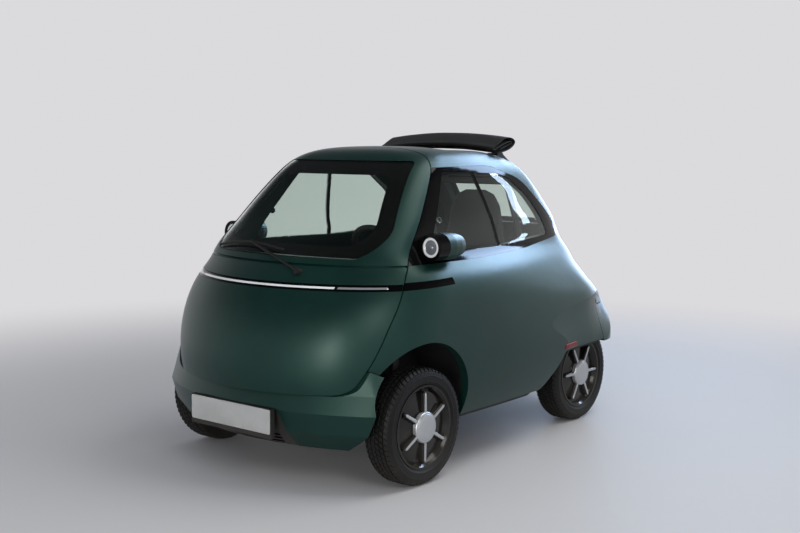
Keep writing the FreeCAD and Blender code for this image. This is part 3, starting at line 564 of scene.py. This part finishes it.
def makeBacks():
    form = seatForm["backs"]
    channel, table = form["channel"], form["sections"]
    verts, faces = [], []
    for side in (-1, 1):
        first = len(verts)
        for i in range(form["rows"]):
            height = table[0][0] + (table[-1][0] - table[0][0]) * i / (form["rows"] - 1)
            z, halfWidth, front, back = blendRows(table, height, form["blend"])
            for k in range(form["around"]):
                turn = 2 * math.pi * k / form["around"]
                x = halfWidth * softPower(math.cos(turn), form["power"])
                y = (back - front) / 2 * softPower(math.sin(turn), form["power"])
                quilted = y < 0 and channel["low"] < z < channel["high"] and abs(x) < channel["halfWidth"]
                sink = channel["deep"] * math.cos(x / channel["pitch"]) if quilted else 0
                verts.append((side * form["centre"] + x, (front + back) / 2 + y + form["setBack"] + sink, z))
        faces += gridFaces(form["rows"], form["around"], closeColumns=True, first=first)
        faces += endFaces(form["rows"], form["around"], first)
    piece = newObject("seatBacks", verts, faces, "seatCloth", "body")
    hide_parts("seat_back")


makeCushion()
makeBacks()
print("stage: seat")


# Folded canvas of the open roof: one sheet folded over itself, open at both sides.
canvasForm = {
    "halfWidth": 0.385, "crownRadius": 2.9, "thick": 0.0042, "stations": 45, "steps": 4,
    "wave": 0.0012, "waves": (9, 22, 40),  # small unevenness, and its waves per metre along x, y and z
    # the sheet's path in side view, y and z, from the rear anchor on the roof to the tucked front hem
    "path": ((0.262, 1.5005), (0.300, 1.5085), (0.345, 1.5190), (0.384, 1.5350), (0.4040, 1.5500), (0.4075, 1.5620),
             (0.396, 1.5725), (0.372, 1.5795), (0.348, 1.5810), (0.322, 1.5785), (0.285, 1.5620), (0.245, 1.5415),
             (0.220, 1.5300), (0.2145, 1.5240), (0.2200, 1.5185), (0.245, 1.5230), (0.300, 1.5440), (0.345, 1.5570),
             (0.372, 1.5610), (0.380, 1.5560), (0.372, 1.5500), (0.340, 1.5400), (0.280, 1.5200)),
}


def smoothPath(points, steps):
    smooth = []
    for i in range(len(points) - 1):
        p = [Vector(points[min(max(i + k, 0), len(points) - 1)]) for k in (-1, 0, 1, 2)]
        for k in range(steps):
            t = k / steps
            smooth.append(0.5 * (2 * p[1] + (p[2] - p[0]) * t + (2 * p[0] - 5 * p[1] + 4 * p[2] - p[3]) * t * t
                                 + (3 * p[1] - p[0] - 3 * p[2] + p[3]) * t ** 3))
    smooth.append(Vector(points[-1]))
    return smooth


def makeCanvas():
    form = canvasForm
    path = smoothPath(form["path"], form["steps"])
    across, along, up = form["waves"]
    verts = []
    for point in path:
        for i in range(form["stations"]):
            x = (2 * i / (form["stations"] - 1) - 1) * form["halfWidth"]
            drop = x * x / (2 * form["crownRadius"])
            wave = form["wave"] * noise.noise(Vector((x * across, point.x * along, point.y * up)))
            verts.append((x, point.x, point.y - drop + wave))
    piece = newObject("foldedCanvas", verts, gridFaces(len(path), form["stations"]), "roofCanvas", "body")
    thick = piece.modifiers.new("thick", "SOLIDIFY")
    thick.thickness = form["thick"]
    thick.offset = 0
    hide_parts("soft_top")


# Lift links that carry the fold's sides, from the roof beside the opening up to the fold, at y and z.
linkForm = {"across": 0.338, "foot": (0.176, 1.440), "head": (0.372, 1.540), "radius": 0.0065, "clear": 0.004,
            "steps": 12, "sweep": 1.4}


def makeLinks():
    form = linkForm
    tree = treeOf("roof")
    for side, label in bothSides:
        x = side * form["across"]
        top = form["head"][1] - x * x / (2 * canvasForm["crownRadius"])
        points = []
        for k in range(form["steps"] + 1):
            t = k / form["steps"]
            y = form["foot"][0] + (form["head"][0] - form["foot"][0]) * t
            hit = tree.ray_cast(Vector((x, y, 2.0)), Vector((0, 0, -1)))[0]
            ground = (hit.z if hit else form["foot"][1]) + form["clear"]
            points.append(Vector((x, y, ground + max(0.0, top - ground) * t ** form["sweep"])))
        verts, faces = tubeAlong(points, form["radius"])
        piece = newObject("liftLink_" + label, verts, faces, "mouldedBlack", "body")


makeCanvas()
makeLinks()
print("stage: folded roof")


# Black print round the inside edge of the front and rear screens.
fritForm = {
    "rings": 6, "dense": 6, "steps": 10, "back": 0.0012,
    # outer and inner loop: half width, height and corner radius of the upper and of the lower corners
    "windscreen": {"body": "door", "from": 1.5,
                   "outer": ((0.406, 1.439, 0.034), (0.560, 1.012, 0.100)),
                   "inner": ((0.345, 1.372, 0.060), (0.478, 1.058, 0.080))},
    "rear_glass": {"body": "tailgate_body", "from": -1.5,
                   "outer": ((0.233, 1.343, 0.048), (0.297, 1.077, 0.048)),
                   "inner": ((0.205, 1.315, 0.040), (0.266, 1.106, 0.040))},
}


def screenLoop(upper, lower):
    (x1, z1, r1), (x2, z2, r2) = upper, lower
    corners = ((-x1, z1, r1), (x1, z1, r1), (x2, z2, r2), (-x2, z2, r2))
    return spreadLoop(roundedLoop(corners, fritForm["steps"]), fritForm["dense"])


def makeFrit(node):
    form = fritForm[node]
    tree = treeOf(node)
    outer, inner = screenLoop(*form["outer"]), screenLoop(*form["inner"])
    way = Vector((0, -1 if form["from"] > 0 else 1, 0))
    verts = []
    for i in range(fritForm["rings"] + 1):
        for a, b in zip(outer, inner):
            x, z = a.lerp(b, i / fritForm["rings"])
            verts.append(tree.ray_cast(Vector((x, form["from"], z)), way)[0] - way * fritForm["back"])
    faces = gridFaces(fritForm["rings"] + 1, len(outer), closeColumns=True)
    piece = newObject("blackEdge_" + node, verts, faces, "printBlack", form["body"])


for node in ("windscreen", "rear_glass"):
    makeFrit(node)
print("stage: screen edges")


# Drive unit: a ribbed motor barrel, its end flange, a flat gear case on the left and two hanging lugs.
driveForm = {
    "from": -0.182, "to": 0.088, "below": 0.018, "around": 56,  # along x; the barrel's axis under the block's middle
    "cover": ((0.0, 0.0), (0.0, 0.070), (0.008, 0.080), (0.010, 0.092)),  # from the right end: distance, radius
    "flange": ((0.0, 0.110), (0.006, 0.110), (0.006, 0.0)),
    "ribs": 13, "ribsFrom": 0.022, "ribsShort": 0.030, "barrel": 0.098, "rib": 0.104,
    "ribSteps": ((0.0, "barrel"), (0.45, "barrel"), (0.55, "rib"), (0.9, "rib")),
    # gear case: rounded outline in y and z, then sections along x with how far each lies inside it
    "case": ((0.7185, 0.180, 0.030), (0.9360, 0.180, 0.060), (0.9360, 0.330, 0.050), (0.8420, 0.405, 0.060),
             (0.7185, 0.360, 0.060)),
    "sections": ((0.092, 0.004), (0.096, 0), (0.132, 0), (0.134, 0), (0.142, 0), (0.144, 0), (0.178, 0.002),
                 (0.184, 0.010), (0.186, 0.022)),
    "lugs": (-0.12, 0.0), "lugFrom": 0.09, "lugClear": 0.001, "lugRadius": 0.016, "sharp": 38,
}


def makeDriveUnit():
    form = driveForm
    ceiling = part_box("motor")[1][2]
    middle = boxMiddle("motor")
    centre = Vector((0, middle.y, middle.z - form["below"]))
    profile = [(form["from"] + along, radius) for along, radius in form["cover"]]
    step = (form["to"] - form["from"] - form["ribsShort"]) / form["ribs"]
    for k in range(form["ribs"]):
        start = form["from"] + form["ribsFrom"] + k * step
        profile += [(start + step * share, form[kind]) for share, kind in form["ribSteps"]]
    profile += [(form["to"] + along, radius) for along, radius in form["flange"]]
    verts, faces = lathe(profile, form["around"], centre, (1, 0, 0))
    loop = spreadLoop(roundedLoop(form["case"], 8), 2)
    hub = sum(loop, Vector((0, 0))) / len(loop)
    case = []
    for x, inset in form["sections"]:
        for point in loop:
            y, z = point + (hub - point).normalized() * inset
            case.append((x, y, z))
    rows = len(form["sections"])
    addPart(verts, faces, (case, gridFaces(rows, len(loop), closeColumns=True) + endFaces(rows, len(loop))))
    for x in form["lugs"]:
        ends = (centre.z + form["lugFrom"], ceiling - form["lugClear"])
        addPart(verts, faces, tubeAlong([Vector((x, centre.y, z)) for z in ends], form["lugRadius"]))
    piece = newObject("driveUnit", verts, faces, "castAlloy", "body")
    piece.data.set_sharp_from_angle(angle=math.radians(form["sharp"]))
    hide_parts("motor")


makeDriveUnit()
print("stage: drive unit")


# A round lock inside each front side pane, as a knob in a bright ring.
latchForm = {
    "place": (-0.450, 1.172), "behind": 0.0075, "around": 40,
    "knob": ((0, 0.0135), (-0.010, 0.0125), (-0.013, 0.010), (-0.0145, 0)),
    "ring": ((0.0006, 0.0105), (0.0006, 0.0145), (-0.003, 0.0155), (-0.006, 0.0150), (-0.006, 0.0128)),
}


def makeLatches():
    form = latchForm
    for side, label in bothSides:
        point, normal = surfaceAt(treeOf("side_glass_" + label), side, *form["place"])
        foot = point - normal * form["behind"]
        for name, profile, finish, slot in (("lockKnob_", form["knob"], "mouldedBlack", "black_plastic"),
                                            ("lockRing_", form["ring"], "chrome", "mirror")):
            verts, faces = lathe(profile, form["around"], foot, normal)
            piece = newObject(name + label, verts, faces, finish, "body")


makeLatches()


# Red reflector on each side ahead of the rear wheel, domed from the skin, with round ends and soft edges.
reflectorForm = {"front": 0.446, "back": 0.592, "lowFront": 0.4575, "lift": 0.003, "tall": 0.026, "proud": 0.003,
                 "columns": 26, "rows": 7, "endRadius": 0.012, "endLeast": 0.05, "softEdge": 6, "softEnd": 0.004}


def makeReflectors():
    form = reflectorForm
    columns, rows, length = form["columns"], form["rows"], form["back"] - form["front"]
    for side, label in bothSides:
        tree = treeOf("body_" + label)
        verts = []
        for i in range(rows):
            v = i / (rows - 1)
            for j in range(columns):
                u = j / (columns - 1)
                ends = min(u, 1 - u) * length
                squeeze = math.sqrt(max(0, 1 - max(0, 1 - ends / form["endRadius"]) ** 2))
                z = form["lowFront"] + form["lift"] * u
                z += form["tall"] * (0.5 + (v - 0.5) * max(squeeze, form["endLeast"]))
                point = surfaceAt(tree, side, form["front"] + length * u, z)[0]
                edge = min(1, min(v, 1 - v) * form["softEdge"] + form["endLeast"])
                edge *= min(1, ends / form["softEnd"] + form["endLeast"])
                verts.append(point + Vector((side, 0, 0)) * form["proud"] * edge)
        piece = newObject("sideReflector_" + label, verts, gridFaces(rows, columns), "lampRed", "body")


makeReflectors()
print("stage: side fittings")


# Blank plate on a black holder with a plain lower lip.
plateForm = {
    "blankPlate": {"halfWidth": 0.259, "low": 0.2545, "high": 0.3645, "front": -1.2590, "deep": 0.004,
                   "corner": 0.008, "finish": "plateFace", "slot": "lamp_white"},
    "plateHolder": {"halfWidth": 0.264, "low": 0.2330, "high": 0.3685, "front": -1.2555, "deep": 0.022,
                    "corner": 0.006, "finish": "mouldedBlack", "slot": "black_plastic"},
}
plateRim = ((0, 0.0012), (0.0008, 0.0003), (0.002, 0), (0.0055, 0), (0.0068, 0.0007))  # inwards from the edge, depth


def makePlate(name, form):
    w, low, high, r = form["halfWidth"], form["low"], form["high"], form["corner"]
    loop = roundedLoop(((-w, low, r), (w, low, r), (w, high, r), (-w, high, r)))
    middle = (low + high) / 2
    rings = ((0, form["deep"]),) + plateRim
    verts = []
    for inset, depth in rings:
        for point in loop:
            x = point.x - math.copysign(min(inset, abs(point.x)), point.x)
            verts.append((x, form["front"] + depth, point.y - math.copysign(inset, point.y - middle)))
    faces = gridFaces(len(rings), len(loop), closeColumns=True) + endFaces(len(rings), len(loop))
    piece = newObject(name, verts, faces, form["finish"], "body", smooth=False)


for name, form in plateForm.items():
    makePlate(name, form)
print("stage: plate")


# Lamp face: bright ring, then a dark bowl with a small centre lens, each as distance inwards and radius.
lampForm = {
    "around": 64, "proud": 0.0022,
    "ring": ((0.000, 0.0455), (-0.0015, 0.0440), (-0.0020, 0.0350), (0.000, 0.0335)),
    "bowl": ((0.0, 0.0335), (0.003, 0.030), (0.0045, 0.014), (0.001, 0.013), (-0.0005, 0.006), (-0.0008, 0.0)),
}


def makeLampFaces():
    form = lampForm
    low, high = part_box("pod_lamps")
    radius = (high[2] - low[2]) / 2
    for side, label in bothSides:
        centre = (side * (high[0] - radius), low[1] - form["proud"], (low[2] + high[2]) / 2)
        for name, profile, finish in (("lampRing_", form["ring"], "lampWhite"),
                                      ("lampBowl_", form["bowl"], "lampGrey")):
            verts, faces = lathe(profile, form["around"], centre, (0, 1, 0))
            piece = newObject(name + label, verts, faces, finish, "body")


makeLampFaces()
print("stage: lamps")


# Stage: pale floor that runs into the backdrop, soft lamps, camera.
stageLook = {
    "floorDark": srgb(184, 184, 187), "floorLight": srgb(196, 196, 198), "floorRough": 0.6, "floorShine": 0.05,
    "floorHalf": 60, "near": 1.8, "far": 6.0,  # the floor takes the wall's colour between these two distances
    "wall": srgb(219, 218, 221), "overhead": srgb(70, 72, 76), "riseFrom": 0.16, "riseTo": 0.6,
    "fill": (0.90, 0.94, 1.0, 1), "fillStrength": 0.5,
}


def backgroundRays(tree):  # 1 for the rays that see the backdrop: camera, mirror and clear glass
    rays = addNode(tree, "LightPath")
    first = addNode(tree, "Math", {0: rays.outputs["Is Camera Ray"], 1: rays.outputs["Is Glossy Ray"]},
                    operation="MAXIMUM")
    return addNode(tree, "Math", {0: first.outputs[0], 1: rays.outputs["Is Transmission Ray"]}, operation="MAXIMUM")


def makeFloorLook():
    look = stageLook
    floor = bpy.data.materials.new("paleFloor")
    floor.use_nodes = True
    tree = floor.node_tree
    shader = tree.nodes["Principled BSDF"]
    shader.inputs["Roughness"].default_value = look["floorRough"]
    shader.inputs["Specular IOR Level"].default_value = look["floorShine"]
    speck = addNode(tree, "TexNoise", {"Scale": 6.0, "Detail": 4.0})
    mixed = addNode(tree, "Mix", {"Factor": speck.outputs["Fac"], "A": look["floorDark"], "B": look["floorLight"]},
                    data_type="RGBA")
    tree.links.new(mixed.outputs["Result"], shader.inputs["Base Color"])
    fade = tree.nodes.new("ShaderNodeGroup")
    fade.node_tree = farFade
    fade.inputs["Near"].default_value, fade.inputs["Far"].default_value = look["near"], look["far"]
    seen = backgroundRays(tree)
    part = addNode(tree, "Math", {0: fade.outputs["Mask"], 1: seen.outputs[0]}, operation="MULTIPLY")
    wall = addNode(tree, "Emission", {"Color": look["wall"], "Strength": 1.0})
    blend = addNode(tree, "MixShader", {0: part.outputs[0], 1: shader.outputs[0], 2: wall.outputs[0]})
    tree.links.new(blend.outputs[0], tree.nodes["Material Output"].inputs["Surface"])
    return floor


def makeFloor():
    half = stageLook["floorHalf"]
    mesh = bpy.data.meshes.new("paleFloor")
    mesh.from_pydata([(-half, -half, 0), (half, -half, 0), (half, half, 0), (-half, half, 0)], [], [(0, 1, 2, 3)])
    mesh.materials.append(makeFloorLook())
    piece = bpy.data.objects.new("paleFloor", mesh)
    scene.collection.objects.link(piece)


def makeBackdrop():  # plain fill light for the object, and a wall that darkens overhead for the rays that see it
    look = stageLook
    world = bpy.data.worlds.new("studio")
    scene.world = world
    world.use_nodes = True
    tree = world.node_tree
    plain = tree.nodes["Background"]
    plain.inputs["Color"].default_value = look["fill"]
    plain.inputs["Strength"].default_value = look["fillStrength"]
    place = addNode(tree, "TexCoord")
    apart = addNode(tree, "SeparateXYZ", {"Vector": place.outputs["Generated"]})
    rise = addNode(tree, "MapRange", {"Value": apart.outputs["Z"], "From Min": look["riseFrom"],
                                      "From Max": look["riseTo"]}, interpolation_type="SMOOTHSTEP")
    shade = addNode(tree, "Mix", {"Factor": rise.outputs["Result"], "A": look["wall"], "B": look["overhead"]},
                    data_type="RGBA")
    seen = addNode(tree, "Background", {"Color": shade.outputs["Result"], "Strength": 1.0})
    clear = backgroundRays(tree)
    mixed = addNode(tree, "MixShader", {0: clear.outputs[0], 1: plain.outputs[0], 2: seen.outputs[0]})
    tree.links.new(mixed.outputs[0], tree.nodes["World Output"].inputs["Surface"])


lamps = {
    # name: place, aim, width, height, watts, colour; none shows itself, only its light and its mirror image
    "ceilingPanel": ((1.9, 1.2, 4.6), (0.3, 0.2, 0.6), 3.4, 2.6, 110, (1.0, 0.99, 0.97)),
    "windowPanel": ((2.35, 5.5, 2.4), (0.6, 0.4, 0.9), 0.24, 2.3, 26, (0.6, 0.78, 1.0)),
    "keyPanel": ((5.6, -3.4, 3.4), (0.2, -0.3, 0.6), 2.4, 2.0, 75, (1.0, 0.98, 0.94)),
    "frontPanel": ((2.7, -6.3, 1.2), (0.4, -1.0, 0.7), 1.5, 1.9, 140, (1.0, 0.96, 0.9)),
    "backPanel": ((0.5, 6.2, 4.6), (0.4, 0.6, 0.9), 4.6, 1.7, 470, (0.5, 0.69, 1.0)),
    "lowPanel": ((-1.8, 6.4, 1.4), (0.6, 0.9, 0.9), 3.2, 1.7, 170, (0.5, 0.69, 1.0)),
}
mirrorOnly = ("windowPanel", "backPanel", "lowPanel")  # these show in paint and glass and leave the floor alone


def makeLamps():
    for name, (place, aim, width, height, watts, colour) in lamps.items():
        light = bpy.data.lights.new(name, "AREA")
        light.shape = "RECTANGLE"
        light.size, light.size_y = width, height
        light.energy = watts
        light.color = colour
        lamp = bpy.data.objects.new(name, light)
        lamp.location = place
        lamp.rotation_euler = (Vector(aim) - Vector(place)).to_track_quat("-Z", "Y").to_euler()
        lamp.visible_camera = lamp.visible_transmission = False
        lamp.visible_diffuse = name not in mirrorOnly
        scene.collection.objects.link(lamp)


cameraForm = {"place": (3.94, -4.769, 1.523), "heading": 39.97, "dip": 5.94, "roll": 0.28, "lens": 53.19}


def makeCamera():
    form = cameraForm
    camera = bpy.data.cameras.new("photoCamera")
    camera.lens = form["lens"]
    camera.sensor_width = 36
    camera.clip_end = 200
    rig = bpy.data.objects.new("photoCamera", camera)
    rig.location = form["place"]
    turn = Matrix.Rotation(math.radians(form["heading"]), 3, "Z")
    dip = Matrix.Rotation(math.radians(90 - form["dip"]), 3, "X")
    roll = Matrix.Rotation(math.radians(form["roll"]), 3, "Z")
    rig.rotation_euler = (turn @ dip @ roll).to_euler()
    scene.collection.objects.link(rig)
    scene.camera = rig


makeFloor()
makeBackdrop()
makeLamps()
makeCamera()
scene.view_settings.view_transform = "Standard"
print("stage: floor, lamps and camera")
